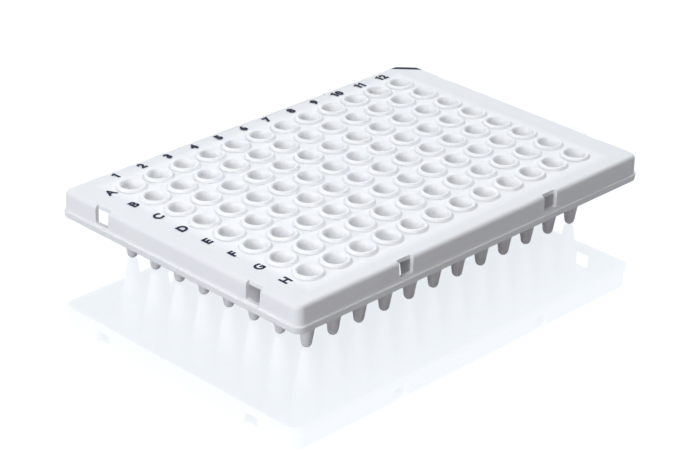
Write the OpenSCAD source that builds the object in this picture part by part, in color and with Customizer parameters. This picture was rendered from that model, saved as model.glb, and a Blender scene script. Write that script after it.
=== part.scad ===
// 96-well PCR plate, half skirted, moulded in one piece.
// The origin is on the surface the tube tips stand on, below the middle of the
// plate. Columns run along +X, and the first row is on the +Y side.

/* [Footprint] */
// Length over the flange, along a row of wells
plate_length = 127.76; // [120:0.01:140]
// Width over the flange, along a column of wells
plate_width = 85.48; // [80:0.01:100]
// Height from the tube tips to the well rims
plate_height = 20.6; // [18:0.1:26]

/* [Well grid] */
// Number of columns of wells
columns = 12; // [2:1:12]
// Number of rows of wells
rows = 8; // [2:1:8]
// Spacing of the wells, centre to centre
pitch = 9; // [8.6:0.1:9.4]

/* [Wells] */
// Inside diameter of the straight upper part of a well
bore_d = 5.5; // [4.6:0.1:6]
// Depth of the straight part, below the rim
bore_depth = 8; // [5:0.5:10]
// Thickness of the tube wall
tube_wall = 0.35; // [0.25:0.05:0.6]
// Outside radius of the round tip of a tube
tip_r = 1.35; // [1:0.05:1.8]
// Outside diameter of the raised rim round a well
rim_d = 7.7; // [7.2:0.1:8.4]
// Height of the rim above the deck
rim_height = 0.8; // [0.4:0.1:1.2]
// Rounding of the rim, inside and outside
lip_r = 0.3; // [0.1:0.05:0.4]

/* [Deck and skirt] */
// Thickness of the deck
deck_thickness = 1; // [0.6:0.1:2]
// Depth of the skirt, from the top of the deck to its foot
skirt_depth = 6.85; // [5.8:0.05:9]
// Thickness of the skirt wall
skirt_wall = 1.1; // [0.8:0.1:1.6]
// Inward lean of the skirt, from its foot to the deck
skirt_draft = 0.12; // [0:0.02:0.2]
// Radius of the skirt's upright corners
corner_r = 2.8; // [2:0.1:4]
// Rounding of the deck's edge
edge_r = 0.7; // [0.2:0.1:0.8]
// Height of the flange round the foot of the skirt
flange_height = 1.5; // [0.8:0.1:2]
// Distance the flange stands out from the skirt
flange_step = 0.5; // [0.2:0.1:1]
// Rounding of the flange's top edge
flange_r = 0.2; // [0.1:0.05:0.4]

/* [Corner cut] */
// Length that the cut takes off each side of the corner, at the flange
corner_cut = 4.9; // [3:0.1:8]
// Rounding of the two upright edges of the cut
cut_r = 1; // [1:0.1:1.5]

/* [Handling notches] */
// Width of a notch at the deck
notch_w = 5; // [3:0.1:8]
// Amount by which a notch narrows towards its floor
notch_taper = 0.4; // [0:0.1:1]
// Depth of a notch below the top of the deck
notch_depth = 4.6; // [2:0.1:5]
// Spacing of the two notches on each side, centre to centre
notch_spacing = 54; // [30:1:60]

/* [Hidden] */

$fn = 64;
overlap = 1; // how far a cutter runs past what it cuts
arc_steps = 4;

deck_top = plate_height - rim_height;
deck_under = deck_top - deck_thickness;
skirt_foot = deck_top - skirt_depth;
bore_r = bore_d / 2;
tube_r = bore_r + tube_wall;
taper_top = plate_height - bore_depth;

// Angle between the axis of a tube and its tapered wall, so that the taper
// leaves the straight part at radius r and runs smoothly into the round tip.
function taper_angle(r, end_r, height) =
    acos(end_r / norm([r, height])) - atan2(height, r);

// Leg of the corner cut on an outline moved inwards by a distance
function cut_leg(inset) = corner_cut - inset * (2 - sqrt(2));

// Points on an arc, from one angle to another
function arc(centre, r, from, to) = [
    for (i = [0:arc_steps])
        let (a = from + (to - from) * i / arc_steps)
            centre + r * [cos(a), sin(a)]
];

// Side of a tube, from its tip up to the end of the taper. Moving the whole
// side inwards by the wall's thickness gives the side of the well.
function tube_side(inset) =
    let (end_r = tip_r - inset, r = tube_r - inset)
    let (a = taper_angle(r, end_r, taper_top - tip_r))
    concat(arc([0, tip_r], end_r, -90, -a), [[r, taper_top]]);

// Centres of the upright edges of an outline, each with its radius
function outline_posts(inset, r, end_r) =
    let (x = plate_length / 2 - inset, y = plate_width / 2 - inset)
    let (leg = cut_leg(inset) + end_r * (sqrt(2) - 1))
    [
        [x - r, -y + r, r],
        [-x + r, -y + r, r],
        [-x + r, y - r, r],
        [x - leg, y - end_r, end_r],
        [x - end_r, y - leg, end_r]
    ];

// Block with the plate's outline: round corners, one corner cut off, sides
// that lean in by draft and a round top edge
module outline_block(inset, bottom, top, draft, top_r) {
    hull()
        for (p = outline_posts(inset, corner_r - inset, cut_r))
            translate([p.x, p.y, 0])
                rotate_extrude($fn = 32)
                    polygon(concat(
                        [[0, bottom], [p.z, bottom]],
                        top_r > 0
                            ? arc([p.z - draft - top_r, top - top_r], top_r, 0, 90)
                            : [[p.z - draft, top]],
                        [[0, top]]
                    ));
}

// Places its children at every well
module at_wells() {
    for (c = [0:columns - 1], r = [0:rows - 1])
        translate([(c - (columns - 1) / 2) * pitch, ((rows - 1) / 2 - r) * pitch, 0])
            children();
}

// Outside of one tube and of its rim, which stands on the deck
module tube_body() {
    neck = deck_top - deck_thickness / 2;
    rotate_extrude()
        polygon(concat(
            tube_side(0),
            [[tube_r, neck], [rim_d / 2, neck]],
            arc([rim_d / 2 - lip_r, plate_height - lip_r], lip_r, 0, 90),
            [[0, plate_height]]
        ));
}

// Inside of one well, from its round bottom to its rounded mouth
module well_bore() {
    rotate_extrude()
        polygon(concat(
            tube_side(tube_wall),
            arc([bore_r + lip_r, plate_height - lip_r], lip_r, 180, 90),
            [[bore_r + lip_r, plate_height + overlap], [0, plate_height + overlap]]
        ));
}

// Cutter for one notch, open at the top, through a skirt wall at the origin
// that faces -Y
module notch_cutter() {
    rise = notch_depth + overlap;
    top_w = notch_w + notch_taper * overlap / notch_depth;
    foot_w = notch_w - notch_taper;
    translate([0, skirt_wall + skirt_draft + 0.1, deck_top - notch_depth])
        rotate([90, 0, 0])
            linear_extrude(skirt_wall + skirt_draft + overlap)
                polygon([
                    [-foot_w / 2, 0], [foot_w / 2, 0],
                    [top_w / 2, rise], [-top_w / 2, rise]
                ]);
}

// Two notches on each side of the plate
module notches() {
    for (side = [0:3]) {
        reach = (side % 2 == 0 ? plate_width : plate_length) / 2 - flange_step;
        rotate([0, 0, side * 90])
            for (s = [-1, 1])
                translate([s * notch_spacing / 2, -reach, 0])
                    notch_cutter();
    }
}

// Deck and skirt, hollow from below
module shell() {
    difference() {
        union() {
            outline_block(flange_step, skirt_foot, deck_top, skirt_draft, edge_r);
            outline_block(0, skirt_foot, skirt_foot + flange_height, 0, flange_r);
        }
        outline_block(flange_step + skirt_wall, skirt_foot - overlap, deck_under, skirt_draft, 0);
        notches();
    }
}

module plate() {
    color("whitesmoke")
        difference() {
            union() {
                shell();
                at_wells() tube_body();
            }
            at_wells() well_bore();
        }
}

plate();
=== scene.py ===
import math

import bmesh
import bpy
from mathutils import Matrix, Quaternion, Vector
from mathutils.geometry import tessellate_polygon


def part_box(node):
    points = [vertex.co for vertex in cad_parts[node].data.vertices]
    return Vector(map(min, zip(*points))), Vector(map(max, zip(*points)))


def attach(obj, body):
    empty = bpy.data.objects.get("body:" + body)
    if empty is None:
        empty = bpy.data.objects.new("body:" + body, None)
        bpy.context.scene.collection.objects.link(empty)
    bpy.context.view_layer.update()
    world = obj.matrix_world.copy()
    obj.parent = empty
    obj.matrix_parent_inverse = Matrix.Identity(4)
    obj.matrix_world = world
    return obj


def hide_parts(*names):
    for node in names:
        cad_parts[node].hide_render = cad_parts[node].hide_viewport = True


mm = 0.001

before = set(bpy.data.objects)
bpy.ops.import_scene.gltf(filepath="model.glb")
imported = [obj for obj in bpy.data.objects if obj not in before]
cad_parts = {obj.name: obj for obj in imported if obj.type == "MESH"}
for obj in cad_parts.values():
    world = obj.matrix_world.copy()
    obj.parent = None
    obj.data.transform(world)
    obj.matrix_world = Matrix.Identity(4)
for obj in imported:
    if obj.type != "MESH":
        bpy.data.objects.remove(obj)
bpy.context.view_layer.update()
plateLow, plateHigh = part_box("plate")
plateTop = plateHigh.z / mm
halfLength = (plateHigh.x - plateLow.x) / 2 / mm
halfWidth = (plateHigh.y - plateLow.y) / 2 / mm
print("frame loaded, plate", round(halfLength * 2, 2), "x", round(halfWidth * 2, 2), "mm")


wells = {
    "rows": 8,
    "columns": 12,
    "pitch": 9.0,  # mm between their middles
    "letters": "ABCDEFGH",  # one for each row
}
firstColumn = (1 - wells["columns"]) / 2 * wells["pitch"]
firstRow = (wells["rows"] - 1) / 2 * wells["pitch"]


def wellCentres():
    for row in range(wells["rows"]):
        for column in range(wells["columns"]):
            yield firstColumn + column * wells["pitch"], firstRow - row * wells["pitch"]


def directionFrom(azimuth, elevation):
    # unit vector out from the plate, 0 round is the front and 90 its right end
    turn, rise = math.radians(azimuth), math.radians(elevation)
    return Vector((math.sin(turn) * math.cos(rise), -math.cos(turn) * math.cos(rise), math.sin(rise)))


camera = {
    "aim": (-9.59, -7.02, 6.53),  # mm, what the middle of the picture shows
    "azimuth": -46.83,  # degrees
    "elevation": 26.74,
    "roll": 2.16,
    "distance": 590.5,  # mm
    "lens": 118.8,
    "film": 36,
}


def placeCamera():
    back = directionFrom(camera["azimuth"], camera["elevation"])
    level = Vector((0, 0, 1)).cross(back).normalized()
    right = Quaternion(back, math.radians(camera["roll"])) @ level
    up = back.cross(right)
    data = bpy.data.cameras.new("productCamera")
    data.lens = camera["lens"]
    data.sensor_width = camera["film"]
    data.clip_start, data.clip_end = 0.01, 20
    shown = bpy.data.objects.new("productCamera", data)
    turned = Matrix((right, up, back)).transposed().to_4x4()
    stand = Vector(camera["aim"]) * mm + back * camera["distance"] * mm
    shown.matrix_world = Matrix.Translation(stand) @ turned
    bpy.context.scene.collection.objects.link(shown)
    bpy.context.scene.camera = shown


placeCamera()
print("camera placed")


def arcPoints(centre, radius, start, end, steps):
    # start and end in degrees, both ends kept
    points = []
    for i in range(steps + 1):
        angle = math.radians(start + (end - start) * i / steps)
        points.append((centre[0] + radius * math.cos(angle), centre[1] + radius * math.sin(angle)))
    return points


def softBend(before, corner, after, reach, steps):
    # rounds a corner between two straight stretches over a reach each way
    corner = Vector(corner)
    first = corner + (Vector(before) - corner).normalized() * reach
    last = corner + (Vector(after) - corner).normalized() * reach
    points = []
    for i in range(steps + 1):
        t = i / steps
        points.append(tuple(first * (1 - t) ** 2 + corner * 2 * t * (1 - t) + last * t ** 2))
    return points


def shadeSmooth(data, sharpAngle):
    data.polygons.foreach_set("use_smooth", [True] * len(data.polygons))
    data.set_sharp_from_angle(angle=math.radians(sharpAngle))


def bridgeLoops(mesh, first, second):
    for i in range(len(first)):
        j = (i + 1) % len(first)
        mesh.faces.new((first[i], first[j], second[j], second[i]))


def thicken(mesh, drop):
    # gives a flat shape its underside and edges
    raised = bmesh.ops.extrude_face_region(mesh, geom=mesh.faces[:])
    for v in raised["geom"]:
        if isinstance(v, bmesh.types.BMVert):
            v.co.z -= drop
    bmesh.ops.recalc_face_normals(mesh, faces=mesh.faces)


def finishPiece(name, mesh, material, sharpAngle=35):
    # turns a bmesh drawn in mm into a smooth shaded object in metres
    bmesh.ops.scale(mesh, vec=(mm, mm, mm), verts=mesh.verts)
    data = bpy.data.meshes.new(name)
    mesh.to_mesh(data)
    mesh.free()
    shadeSmooth(data, sharpAngle)
    data.materials.append(material)
    piece = bpy.data.objects.new(name, data)
    bpy.context.scene.collection.objects.link(piece)
    return piece


def bakeModifiers(piece):
    bpy.context.view_layer.update()
    ready = piece.evaluated_get(bpy.context.evaluated_depsgraph_get())
    data = bpy.data.meshes.new_from_object(ready)
    data.name = piece.name
    old = piece.data
    piece.modifiers.clear()
    piece.data = data
    bpy.data.meshes.remove(old)


plastic = {
    "colour": (0.995, 0.996, 0.997),
    "cloudy": (0.989, 0.991, 0.994),
    "shadeOutsideWells": 0.945,  # painted shade: outside the thin tubes the colour takes this share, so the well insides look lit through their walls
    "shadeOutsideWellsFrom": (2.8, 3.15),  # mm from the middle of a well, where it begins and is full
    "marginShade": 0.885,  # painted shade: the margins round the wells take this further share
    "marginShadeFrom": (53.5, 35.5),  # mm from the middle, lengthways and crossways
    "marginShadeFade": 3,  # mm
    "roughness": (0.36, 0.46),
    "ior": 1.49,
    "scatter": (0.3, 0.29, 0.28),  # mm that light travels inside, for each colour
    "grain": 0.0025,  # mm, height of the fine spark grain
    "sink": 0.006,  # mm, height of the slow waves
    "scales": {"clouds": 90, "patches": 350, "waves": 160, "grain": 6000},  # fineness of each noise
}


def noise(nodes, links, place, scale, detail):
    made = nodes.new("ShaderNodeTexNoise")
    made.inputs["Scale"].default_value = scale
    made.inputs["Detail"].default_value = detail
    links.new(place, made.inputs["Vector"])
    return made.outputs["Fac"]


def spread(nodes, links, value, low, high, fromLow=0.3, fromHigh=0.7):
    made = nodes.new("ShaderNodeMapRange")
    made.inputs["From Min"].default_value = fromLow
    made.inputs["From Max"].default_value = fromHigh
    made.inputs["To Min"].default_value = low
    made.inputs["To Max"].default_value = high
    links.new(value, made.inputs["Value"])
    return made.outputs["Result"]


def vectorStep(nodes, links, kind, value, other=None):
    made = nodes.new("ShaderNodeVectorMath")
    made.operation = kind
    if other:
        made.inputs[1].default_value = other
    links.new(value, made.inputs[0])
    return made.outputs["Value" if kind == "LENGTH" else "Vector"]


def higher(nodes, links, first, second):
    made = nodes.new("ShaderNodeMath")
    made.operation = "MAXIMUM"
    links.new(first, made.inputs[0])
    links.new(second, made.inputs[1])
    return made.outputs["Value"]


def blendColours(nodes, links, amount, first, second):
    made = nodes.new("ShaderNodeMix")
    made.data_type = "RGBA"
    made.inputs["A"].default_value = (*first, 1)
    made.inputs["B"].default_value = (*second, 1)
    links.new(amount, made.inputs["Factor"])
    return made.outputs["Result"]


def duller(nodes, links, colour, mask, share):
    made = nodes.new("ShaderNodeMix")
    made.data_type, made.blend_type = "RGBA", "MULTIPLY"
    made.inputs["B"].default_value = (share, share, share, 1)
    links.new(colour, made.inputs["A"])
    links.new(mask, made.inputs["Factor"])
    return made.outputs["Result"]


def marginShadeMask(nodes, links, place):
    # 0 over the field of tubes, 1 over the margins, which get painted shade in place of the light that comes
    # up between the tubes
    parts = nodes.new("ShaderNodeSeparateXYZ")
    links.new(place, parts.inputs["Vector"])
    sides = []
    for i in range(2):
        size = nodes.new("ShaderNodeMath")
        size.operation = "ABSOLUTE"
        links.new(parts.outputs[i], size.inputs[0])
        edge, fade = plastic["marginShadeFrom"][i] * mm, plastic["marginShadeFade"] * mm
        sides.append(spread(nodes, links, size.outputs["Value"], 0, 1, edge, edge + fade))
    return higher(nodes, links, *sides)


def shadeOutsideWellsMask(nodes, links, place):
    # 0 on and inside the thin tubes, 1 further out from their middles, where the colour gets painted shade
    pitch = wells["pitch"]
    cells = vectorStep(nodes, links, "DIVIDE", place, (pitch * mm, pitch * mm, 1))
    part = vectorStep(nodes, links, "FRACTION", cells)
    away = vectorStep(nodes, links, "SUBTRACT", part, (0.5, 0.5, 0))
    flat = vectorStep(nodes, links, "MULTIPLY", away, (pitch, pitch, 0))
    return spread(nodes, links, vectorStep(nodes, links, "LENGTH", flat), 0, 1, *plastic["shadeOutsideWellsFrom"])


def makeWhitePlastic():
    made = bpy.data.materials.new("whitePolypropylene")
    made.use_nodes = True
    nodes, links = made.node_tree.nodes, made.node_tree.links
    skin = nodes["Principled BSDF"]
    place = nodes.new("ShaderNodeTexCoord").outputs["Object"]
    scales = plastic["scales"]
    clouds = spread(nodes, links, noise(nodes, links, place, scales["clouds"], 3), 0, 1)
    colour = blendColours(nodes, links, clouds, plastic["colour"], plastic["cloudy"])
    marginShade = marginShadeMask(nodes, links, place)
    # painted shade: darker colour outside the thin tubes, which makes the well insides look lit through their
    # walls
    shadeOutsideWells = higher(nodes, links, shadeOutsideWellsMask(nodes, links, place), marginShade)
    colour = duller(nodes, links, colour, shadeOutsideWells, plastic["shadeOutsideWells"])
    # painted shade: the margins darker still, where no light comes up through the deck between the tubes
    colour = duller(nodes, links, colour, marginShade, plastic["marginShade"])
    links.new(colour, skin.inputs["Base Color"])
    patches = noise(nodes, links, place, scales["patches"], 4)
    links.new(spread(nodes, links, patches, *plastic["roughness"]), skin.inputs["Roughness"])
    skin.inputs["IOR"].default_value = plastic["ior"]
    skin.inputs["Subsurface Weight"].default_value = 1.0
    skin.inputs["Subsurface Radius"].default_value = plastic["scatter"]
    skin.inputs["Subsurface Scale"].default_value = mm
    # slow sink waves first, then the fine grain of the mould on top
    waves = nodes.new("ShaderNodeBump")
    waves.inputs["Distance"].default_value = plastic["sink"] * mm
    links.new(noise(nodes, links, place, scales["waves"], 1), waves.inputs["Height"])
    grain = nodes.new("ShaderNodeBump")
    grain.inputs["Distance"].default_value = plastic["grain"] * mm
    links.new(noise(nodes, links, place, scales["grain"], 2), grain.inputs["Height"])
    links.new(waves.outputs["Normal"], grain.inputs["Normal"])
    links.new(grain.outputs["Normal"], skin.inputs["Normal"])
    return made


ink = {
    "colour": (0.006, 0.008, 0.030),
    "worn": (0.012, 0.015, 0.045),
    "roughness": (0.38, 0.55),
    "shine": 0.15,
    "mottle": 2500,  # fineness of its spots
    "height": 0.004,  # mm, of the spots
}


def makeInk():
    made = bpy.data.materials.new("navyInk")
    made.use_nodes = True
    nodes, links = made.node_tree.nodes, made.node_tree.links
    skin = nodes["Principled BSDF"]
    place = nodes.new("ShaderNodeTexCoord").outputs["Object"]
    mottle = noise(nodes, links, place, ink["mottle"], 3)
    tint = blendColours(nodes, links, spread(nodes, links, mottle, 0, 1), ink["colour"], ink["worn"])
    links.new(tint, skin.inputs["Base Color"])
    links.new(spread(nodes, links, mottle, *ink["roughness"]), skin.inputs["Roughness"])
    skin.inputs["Specular IOR Level"].default_value = ink["shine"]
    bump = nodes.new("ShaderNodeBump")
    bump.inputs["Distance"].default_value = ink["height"] * mm
    links.new(mottle, bump.inputs["Height"])
    links.new(bump.outputs["Normal"], skin.inputs["Normal"])
    return made


whitePlastic = makeWhitePlastic()
navyInk = makeInk()
print("finishes made")


# all lengths in mm
shell = {
    "deck": 1.0,  # thickness
    "below": 0.8,  # the deck lies this far below the top of the plate
    "rim": 0.7,  # height of the well rims above the deck
    "bow": 0.75,  # how far the middle of the deck stands above its edges
    "droop": 1.56,  # how far the foot hangs lower at the corners
    "depth": 5.88,  # from the deck down to the foot, halfway along a side
    "wall": 1.05,
    "draft": 0.12,  # inward lean of the skirt, from the flange up to the deck
    "corner": 2.9,
    "edge": 1.1,  # rounding of the deck's edge
    "flange": 1.5,  # height
    "step": 0.5,  # how far the flange stands out
    "cut": 4.9,  # leg of the cut corner
    "cutRound": 1.4,
    "soften": 0.13,  # small radii of the flange's top edge
    "footRound": 0.28,
    "flangeLean": 0.2,  # the flange tapers in towards the foot
    "underFillet": 0.45,
    "holeRadius": 2.93,  # hidden inside the tube walls
    "holeSides": 24,
}

notch = {
    "width": 5.0,  # at the deck
    "taper": 0.4,  # how much narrower its floor is
    "depth": 4.3,
    "spacing": 54.0,
    "past": 1.0,  # how far the cutter runs past the skirt and the deck
    "soften": 0.48,  # rounding of the outer upright edges
    "inside": 0.2,  # share of it on the inner edges
    "below": 0.5,  # share of it on the edges of the notch's floor
    "sharp": 28,  # degrees, flatter edges aren't rounded
}

deckTop = plateTop - shell["below"]
deckUnder = deckTop - shell["deck"]
foot = deckTop - shell["depth"]
innerInset = shell["step"] + shell["wall"]


def outlineLoop(inset, shrink):
    # plan of the plate moved in by inset, with its round corners shrunk on their own centres
    x, y = halfLength - inset, halfWidth - inset
    bend, end = shell["corner"] - inset, shell["cutRound"]
    leg = shell["cut"] - inset * (2 - math.sqrt(2)) + end * (math.sqrt(2) - 1)
    points = []
    points += arcPoints((x - end, y - leg), end - shrink, 0, 45, 4)
    points += arcPoints((x - leg, y - end), end - shrink, 45, 90, 4)
    points += arcPoints((-x + bend, y - bend), bend - shrink, 90, 180, 10)
    points += arcPoints((-x + bend, -y + bend), bend - shrink, 180, 270, 10)
    points += arcPoints((x - bend, -y + bend), bend - shrink, 270, 360, 10)
    return points


def quarterRound(radius, steps):
    # how far a round edge lies from its square corner: (across, up), starting with 0 across
    for i in range(steps + 1):
        angle = math.radians(90 * i / steps)
        yield radius * (1 - math.cos(angle)), radius * (1 - math.sin(angle))


def shellLevels():
    # (inset, shrink, height) from the flat of the deck down outside, round the foot and up inside
    step, draft, lean = shell["step"], shell["draft"], shell["flangeLean"]
    ledge, soft = foot + shell["flange"], shell["soften"]
    levels = [(step, draft + a, deckTop - b) for a, b in quarterRound(shell["edge"], 7)][::-1]
    # hollow against the wall, a narrow flat, then round onto the flange
    levels += [(step, draft * 0.2 - a, ledge + b) for a, b in quarterRound(soft, 3)]
    levels += [(0, a, ledge - b) for a, b in quarterRound(soft, 3)][::-1]
    # round the foot, outside and then inside
    levels += [(0, lean + a, foot + b) for a, b in quarterRound(shell["footRound"], 4)]
    levels += [(innerInset, -b, foot + a) for a, b in quarterRound(soft, 3)]
    # up the inside, and hollow under the deck
    levels += [(innerInset, draft * 0.9 + a, deckUnder - b) for a, b in quarterRound(shell["underFillet"], 5)]
    return levels


def buildShell():
    mesh = bmesh.new()
    loops = []
    for inset, shrink, height in shellLevels():
        loops.append([mesh.verts.new((x, y, height)) for x, y in outlineLoop(inset, shrink)])
    for upper, lower in zip(loops, loops[1:]):
        bridgeLoops(mesh, upper, lower)
    topRings, underRings = [loops[0]], [loops[-1]]
    sides = shell["holeSides"]
    for centre in wellCentres():
        ring = arcPoints(centre, shell["holeRadius"], 0, 360 - 360 / sides, sides - 1)
        top = [mesh.verts.new((*p, deckTop)) for p in ring]
        under = [mesh.verts.new((*p, deckUnder)) for p in ring]
        bridgeLoops(mesh, top, under)
        topRings.append(top)
        underRings.append(under)
    for polygon in (topRings, underRings):
        corners = [v for ring in polygon for v in ring]
        for a, b, c in tessellate_polygon([[v.co.copy() for v in ring] for ring in polygon]):
            mesh.faces.new((corners[a], corners[b], corners[c]))
    bmesh.ops.recalc_face_normals(mesh, faces=mesh.faces)
    return mesh


def notchPlaces():
    # (turn of its side in degrees, place along that side, distance of the side from the middle)
    for side in range(4):
        reach = (halfWidth if side % 2 == 0 else halfLength) - shell["step"]
        for way in (-1, 1):
            yield side * 90, way * notch["spacing"] / 2, reach


def buildNotchCutters():
    mesh = bmesh.new()
    past, low = notch["past"], deckTop - notch["depth"]
    topHalf = (notch["width"] + notch["taper"] * past / notch["depth"]) / 2
    lowHalf = (notch["width"] - notch["taper"]) / 2
    section = [(-lowHalf, low), (lowHalf, low), (topHalf, deckTop + past), (-topHalf, deckTop + past)]
    depth = shell["wall"] + shell["draft"] + 0.1  # just through the leaning wall
    for turn, along, reach in notchPlaces():
        spun = Matrix.Rotation(math.radians(turn), 3, "Z")
        rings = []
        for y in (-reach - past, -reach + depth):
            corners = [spun @ Vector((along + x, y, z)) for x, z in section]
            rings.append([mesh.verts.new(corner) for corner in corners])
        outer, inner = rings
        mesh.faces.new(outer)
        mesh.faces.new(inner[::-1])
        bridgeLoops(mesh, inner, outer)
    bmesh.ops.recalc_face_normals(mesh, faces=mesh.faces)
    return mesh


def markNotchEdges(piece):
    # gives every cut edge of the notches a weight, so that only those are rounded
    mesh = bmesh.new()
    mesh.from_mesh(piece.data)
    weight = mesh.edges.layers.float.new("bevel_weight_edge")
    for edge in mesh.edges:
        middle = (edge.verts[0].co + edge.verts[1].co) / 2 / mm
        if middle.z < foot + shell["flange"] + 0.4 or len(edge.link_faces) != 2:
            continue
        if edge.calc_face_angle(0) < math.radians(notch["sharp"]):
            continue
        for turn, along, reach in notchPlaces():
            local = Matrix.Rotation(-math.radians(turn), 3, "Z") @ middle
            if abs(local.x - along) > notch["width"] / 2 + 0.1 or local.y > -reach + 2:
                continue
            edge[weight] = 1
            if middle.z < deckTop - notch["depth"] + 0.05:
                edge[weight] = notch["below"]
            if middle.z < deckUnder + 0.1 and local.y > -reach + shell["wall"] - 0.2:
                edge[weight] = notch["inside"]
    mesh.to_mesh(piece.data)
    mesh.free()


def makeShell():
    piece = finishPiece("deckAndSkirt", buildShell(), whitePlastic)
    cutter = finishPiece("notchCutter", buildNotchCutters(), whitePlastic)
    cut = piece.modifiers.new("cut", "BOOLEAN")
    cut.operation, cut.solver, cut.object = "DIFFERENCE", "EXACT", cutter
    bakeModifiers(piece)
    bpy.data.objects.remove(cutter)
    markNotchEdges(piece)
    bevel = piece.modifiers.new("soften", "BEVEL")
    bevel.limit_method = "WEIGHT"
    bevel.width = notch["soften"] * mm
    bevel.segments = 3
    bakeModifiers(piece)
    shadeSmooth(piece.data, 40)
    even = piece.modifiers.new("even", "WEIGHTED_NORMAL")
    even.keep_sharp = True
    even.weight = 100
    bakeModifiers(piece)
    return piece


deckAndSkirt = makeShell()
print("deck and skirt", len(deckAndSkirt.data.polygons), "faces")


tube = {
    "bore": 2.65,  # inner radius of the straight part
    "wall": 0.45,
    "straight": 8.0,  # depth of the straight part of the well
    "bend": 1.2,  # reach of the soft bend below it
    "tip": 1.35,  # outer radius
    "mouth": (0.6, 1.25),  # width and depth of the rounded way in
    "crest": 3.5,  # radius where the flat crown of the rim ends
    "slope": 4.15,  # radius where its soft outer slope meets the deck
    "deckFillet": 0.5,  # hollow under the deck
    "around": 56,  # sides of each ring
}


def tubeSide(inset):
    # from the middle of the tip up to the straight part
    taperTop = plateTop - tube["straight"]
    end, radius = tube["tip"] - inset, tube["bore"] + tube["wall"] - inset
    rise = taperTop - tube["tip"]
    lean = math.degrees(math.acos(end / math.hypot(radius, rise)) - math.atan2(rise, radius))
    side = arcPoints((0, tube["tip"]), end, -90, -lean, 7)
    side[0] = (0, side[0][1])
    side += softBend(side[-1], (radius, taperTop), (radius, taperTop + 4), tube["bend"], 4)
    return side


def tubeProfile():
    # (radius, height) up the outside, over the rim and down the inside
    outer, fillet = tube["bore"] + tube["wall"], tube["deckFillet"]
    slope, crest, rim = tube["slope"], tube["crest"], shell["rim"]
    profile = tubeSide(0)
    profile += arcPoints((outer + fillet, deckUnder - fillet), fillet, 180, 92, 4)
    profile += [(outer + fillet + 0.15, deckUnder + 0.2), (slope + 0.02, deckTop - 0.06)]
    for i in range(11):
        rise = rim * (1 - math.cos(math.pi * i / 10)) / 2
        profile.append((slope - (slope - crest) * i / 10, deckTop + rise))
    wide, deep = tube["mouth"]
    for i in range(11):
        angle = math.radians(9 * i)
        drop = deep * (1 - math.cos(angle))
        profile.append((tube["bore"] + wide * (1 - math.sin(angle)), deckTop + rim - drop))
    profile += tubeSide(tube["wall"])[::-1]
    return profile


def spinTube(mesh, profile, centre):
    around = tube["around"]
    rings = []
    for radius, height in profile:
        if radius < 1e-6:
            rings.append([mesh.verts.new((*centre, height))])
            continue
        ring = arcPoints(centre, radius, 0, 360 - 360 / around, around - 1)
        rings.append([mesh.verts.new((*p, height)) for p in ring])
    # the profile starts and ends at a single point, the two sides of the tip
    for i in range(around):
        j = (i + 1) % around
        mesh.faces.new((rings[0][0], rings[1][j], rings[1][i]))
        mesh.faces.new((rings[-2][i], rings[-2][j], rings[-1][0]))
    for low, high in zip(rings[1:-2], rings[2:-1]):
        bridgeLoops(mesh, low, high)


def makeTubeRows():
    profile = tubeProfile()
    centres = list(wellCentres())
    made = []
    for row in range(wells["rows"]):
        mesh = bmesh.new()
        for centre in centres[row * wells["columns"]:(row + 1) * wells["columns"]]:
            spinTube(mesh, profile, centre)
        made.append(finishPiece("tubeRow" + wells["letters"][row], mesh, whitePlastic, 50))
    return made


tubeRows = makeTubeRows()
print("tube rows", len(tubeRows), "with", len(tubeRows[0].data.polygons), "faces each")


marks = {
    "height": 2.85,  # of the capitals
    "letterBold": 0.044,  # swelling of the strokes, as a share of the type's size
    "numberBold": 0.055,
    "gap": 0.13,  # between the figures of a number, as a share of the height
    "thick": 0.035,
    "sunk": 0.03,  # depth of its foot in the deck
    "letterX": -56.0,  # middle of the letters
    "letterRise": 0.56,  # above the middle of the row
    "numberY": 38.95,  # middle of the numbers
    "numberShift": 0.94,  # to the right of the middle of the first column
    "numberPitch": 8.9,  # a little closer than the wells
    "askew": -0.34,  # degrees, the whole print is turned a little on the deck
}

# the figure one, drawn one unit high
figureOne = [(0.21, 0), (0.45, 0), (0.45, 1), (0.28, 1), (0.18, 0.88), (0, 0.82), (0, 0.62), (0.21, 0.72)]


def glyphShape(character, bold):
    # flat shape one unit high, with its lower left corner at the origin
    flat = bmesh.new()
    if character == "1":
        flat.faces.new([flat.verts.new((x, y, 0)) for x, y in figureOne])
        return flat
    curve = bpy.data.curves.new("glyph", "FONT")
    curve.body = character
    curve.size = 1
    curve.offset = bold
    curve.resolution_u = 6
    curve.fill_mode = "FRONT"
    holder = bpy.data.objects.new("glyph", curve)
    bpy.context.scene.collection.objects.link(holder)
    bpy.context.view_layer.update()
    data = bpy.data.meshes.new_from_object(holder.evaluated_get(bpy.context.evaluated_depsgraph_get()))
    bpy.data.objects.remove(holder)
    bpy.data.curves.remove(curve)
    flat.from_mesh(data)
    bpy.data.meshes.remove(data)
    left = min(v.co.x for v in flat.verts)
    low = min(v.co.y for v in flat.verts)
    high = max(v.co.y for v in flat.verts)
    for v in flat.verts:
        v.co.x, v.co.y = (v.co.x - left) / (high - low), (v.co.y - low) / (high - low)
    return flat


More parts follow.
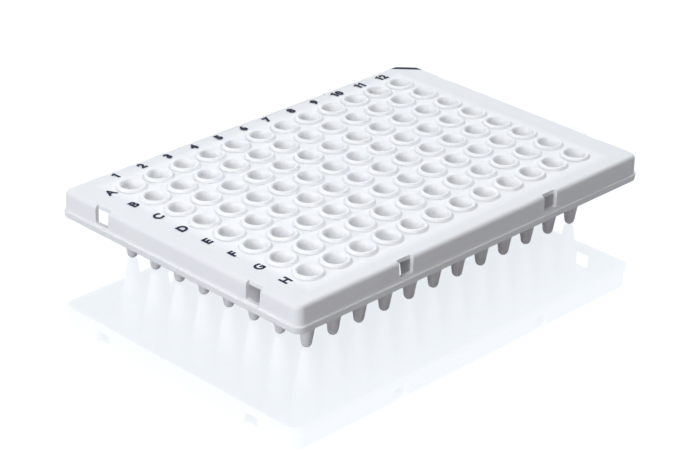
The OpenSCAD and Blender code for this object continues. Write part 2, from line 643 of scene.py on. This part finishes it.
def printGlyphs(name, glyphs, bold):
    # glyphs: (text, x, y of the middle in mm)
    joined = bmesh.new()
    askew = Matrix.Rotation(math.radians(marks["askew"]), 3, "Z")
    for text, x, y in glyphs:
        shapes, across = [], 0
        for character in text:
            flat = glyphShape(character, bold)
            width = max(v.co.x for v in flat.verts)
            shapes.append((flat, across))
            across += width + marks["gap"]
        middle = (across - marks["gap"]) / 2
        for flat, start in shapes:
            for v in flat.verts:
                v.co.x = (v.co.x + start - middle) * marks["height"] + x
                v.co.y = (v.co.y - 0.5) * marks["height"] + y
                v.co.z = deckTop + marks["thick"]
                v.co = askew @ v.co
            thicken(flat, marks["thick"] + marks["sunk"])
            shape = bpy.data.meshes.new("glyphShape")
            flat.to_mesh(shape)
            flat.free()
            joined.from_mesh(shape)
            bpy.data.meshes.remove(shape)
    return finishPiece(name, joined, navyInk, 30)


def makePrint():
    letters, numbers = [], []
    for i, letter in enumerate(wells["letters"]):
        letters.append((letter, marks["letterX"], firstRow - i * wells["pitch"] + marks["letterRise"]))
    for i in range(wells["columns"]):
        x = firstColumn + marks["numberShift"] + i * marks["numberPitch"]
        numbers.append((str(i + 1), x, marks["numberY"]))
    return [
        printGlyphs("rowLetters", letters, marks["letterBold"]),
        printGlyphs("columnNumbers", numbers, marks["numberBold"]),
    ]


cornerMark = {
    "inner": 97.5,  # x + y of the band's inner line
    "lift": 0.02,  # above the plastic
    "thick": 0.03,
    "down": 72,  # degrees of the edge round that the ink runs over
    "steps": 40,  # along the band
}


def clipLoop(loop, limit, steps):
    # the stretch of a loop beyond x + y = limit, as evenly spaced points
    stretch = []
    count = len(loop)
    start = next(i for i in range(count) if sum(loop[i - 1]) < limit <= sum(loop[i]))
    a, b = Vector(loop[start - 1]), Vector(loop[start])
    stretch.append(a.lerp(b, (limit - sum(a)) / (sum(b) - sum(a))))
    i = start
    while sum(loop[i % count]) >= limit:
        stretch.append(Vector(loop[i % count]))
        i += 1
    a, b = Vector(loop[(i - 1) % count]), Vector(loop[i % count])
    stretch.append(a.lerp(b, (limit - sum(a)) / (sum(b) - sum(a))))
    lengths = [0]
    for a, b in zip(stretch, stretch[1:]):
        lengths.append(lengths[-1] + (b - a).length)
    even = []
    for k in range(steps + 1):
        want = lengths[-1] * k / steps
        i = max(n for n in range(len(lengths) - 1) if lengths[n] <= want + 1e-9)
        part = (want - lengths[i]) / (lengths[i + 1] - lengths[i])
        even.append(stretch[i].lerp(stretch[i + 1], min(part, 1)))
    return even


def makeCornerMark():
    mesh = bmesh.new()
    step, draft, edge = shell["step"], shell["draft"], shell["edge"]
    lift, steps = cornerMark["lift"], cornerMark["steps"]
    flat = clipLoop(outlineLoop(step, draft + edge), cornerMark["inner"], steps)
    rows = []
    for i in range(4):
        line = [flat[0].lerp(flat[-1], k / steps).lerp(flat[k], i / 4) for k in range(steps + 1)]
        rows.append([mesh.verts.new((p.x, p.y, deckTop + lift)) for p in line])
    for i in range(7):
        angle = math.radians(cornerMark["down"] * i / 6)
        shrink = draft + edge - (edge + lift) * math.sin(angle)
        height = deckTop - edge + (edge + lift) * math.cos(angle)
        line = clipLoop(outlineLoop(step, shrink), cornerMark["inner"], steps)
        rows.append([mesh.verts.new((p.x, p.y, height)) for p in line])
    for a, b in zip(rows, rows[1:]):
        for k in range(steps):
            mesh.faces.new((a[k], a[k + 1], b[k + 1], b[k]))
    bmesh.ops.remove_doubles(mesh, verts=mesh.verts, dist=0.0005)
    thicken(mesh, cornerMark["thick"])
    return finishPiece("cornerMark", mesh, navyInk)


printed = makePrint() + [makeCornerMark()]
print("print laid on the deck")


def bowUp(piece):
    # the moulding has sprung up a little in the middle, less and less down the tubes
    for v in piece.data.vertices:
        across, along = abs(v.co.x) / mm / halfLength, abs(v.co.y) / mm / halfWidth
        bend = (1 - min(across ** 3, 1)) * (1 - min(along ** 3, 1))
        v.co.z += shell["bow"] * mm * bend * max(v.co.z / mm / plateTop, 0)


def droopCorners(piece):
    # the foot of the skirt arches a little along each side
    for v in piece.data.vertices:
        x, y, z = v.co / mm
        near = (abs(x) / halfLength * abs(y) / halfWidth) ** 2.5
        down = min(max((deckUnder - z) / (deckUnder - foot), 0), 1)
        v.co.z -= shell["droop"] * mm * near * down


droopCorners(deckAndSkirt)
for piece in [deckAndSkirt] + tubeRows + printed:
    bowUp(piece)
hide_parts("plate")
for piece in [deckAndSkirt] + tubeRows:
    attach(piece, "root")
for piece in printed:
    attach(piece, "root")


def paleRays(nodes, links):
    # 1 for the rays that should find the table and the room white
    path = nodes.new("ShaderNodeLightPath").outputs
    pale = higher(nodes, links, path["Is Camera Ray"], path["Is Glossy Ray"])
    return higher(nodes, links, pale, path["Is Transmission Ray"])


floor = {
    "size": 3000,
    "gap": 0.02,  # below the tube tips
    "shown": (0.79, 0.825, 0.865),  # its own tone to the eye and in gloss
    "shaded": 0.07,  # the part on top of it that takes shadows
    "gloss": 0.19,
    "blur": 0.02,
    "grey": 0.33,  # what it gives back onto the plate
}


def flatGrey(nodes, tone):
    made = nodes.new("ShaderNodeBsdfDiffuse")
    made.inputs["Color"].default_value = (tone, tone, tone, 1)
    return made.outputs["BSDF"]


def addShaders(nodes, links, first, second):
    made = nodes.new("ShaderNodeAddShader")
    links.new(first, made.inputs[0])
    links.new(second, made.inputs[1])
    return made.outputs["Shader"]


def makeTableTop():
    made = bpy.data.materials.new("whiteTable")
    made.use_nodes = True
    nodes, links = made.node_tree.nodes, made.node_tree.links
    nodes.remove(nodes["Principled BSDF"])
    pale = nodes.new("ShaderNodeEmission")
    pale.inputs["Color"].default_value = (*floor["shown"], 1)
    gloss = nodes.new("ShaderNodeBsdfGlossy")
    gloss.inputs["Color"].default_value = (floor["gloss"], floor["gloss"], floor["gloss"], 1)
    gloss.inputs["Roughness"].default_value = floor["blur"]
    seen = addShaders(nodes, links, pale.outputs["Emission"], flatGrey(nodes, floor["shaded"]))
    seen = addShaders(nodes, links, seen, gloss.outputs["BSDF"])
    chosen = nodes.new("ShaderNodeMixShader")
    links.new(paleRays(nodes, links), chosen.inputs["Fac"])
    links.new(flatGrey(nodes, floor["grey"]), chosen.inputs[1])
    links.new(seen, chosen.inputs[2])
    links.new(chosen.outputs["Shader"], nodes["Material Output"].inputs["Surface"])
    return made


def makeFloor():
    mesh = bmesh.new()
    bmesh.ops.create_grid(mesh, x_segments=8, y_segments=8, size=floor["size"] / 2)
    piece = finishPiece("table", mesh, makeTableTop())
    piece.location.z = plateLow.z - floor["gap"] * mm
    return piece


# degrees round and up from the plate, metres away and across, watts
lamps = {
    "keyLamp": {
        "azimuth": -88, "elevation": 43, "distance": 0.8,
        "size": 0.9, "power": 5.4, "tint": (0.95, 0.98, 1.0),
    },
    "lowLamp": {
        "azimuth": -84, "elevation": 12, "distance": 0.9,
        "size": 0.35, "power": 1.3, "tint": (0.74, 0.8, 1.0),
    },
    "fillLamp": {
        "azimuth": -46, "elevation": 8, "distance": 0.9,
        "size": 0.5, "power": 1.4, "tint": (1.0, 0.87, 0.92),
    },
    "frontLamp": {
        "azimuth": -55, "elevation": 55, "distance": 0.8,
        "size": 0.6, "power": 0.75, "tint": (0.94, 0.98, 1.0),
    },
    "backLamp": {
        "azimuth": 110, "elevation": 40, "distance": 1.4,
        "size": 0.6, "power": 15.3, "tint": (0.88, 0.93, 1.0),
    },
}


def makeWorld():
    # a white room to the eye and in gloss, that lights nothing itself
    world = bpy.data.worlds.new("studio")
    bpy.context.scene.world = world
    world.use_nodes = True
    nodes, links = world.node_tree.nodes, world.node_tree.links
    nodes["Background"].inputs["Color"].default_value = (1, 1, 1, 1)
    links.new(paleRays(nodes, links), nodes["Background"].inputs["Strength"])


def addLamp(name, settings):
    away = directionFrom(settings["azimuth"], settings["elevation"])
    data = bpy.data.lights.new(name, "AREA")
    data.shape = "SQUARE"
    data.size = settings["size"]
    data.energy = settings["power"]
    data.color = settings["tint"]
    lamp = bpy.data.objects.new(name, data)
    lamp.location = away * settings["distance"]
    lamp.rotation_mode = "QUATERNION"
    lamp.rotation_quaternion = away.to_track_quat("Z", "Y")
    lamp.visible_glossy = lamp.visible_camera = False
    bpy.context.scene.collection.objects.link(lamp)


makeFloor()
makeWorld()
for name, settings in lamps.items():
    addLamp(name, settings)
bpy.context.scene.view_settings.view_transform = "Standard"
print("studio lit with", len(lamps), "lamps")
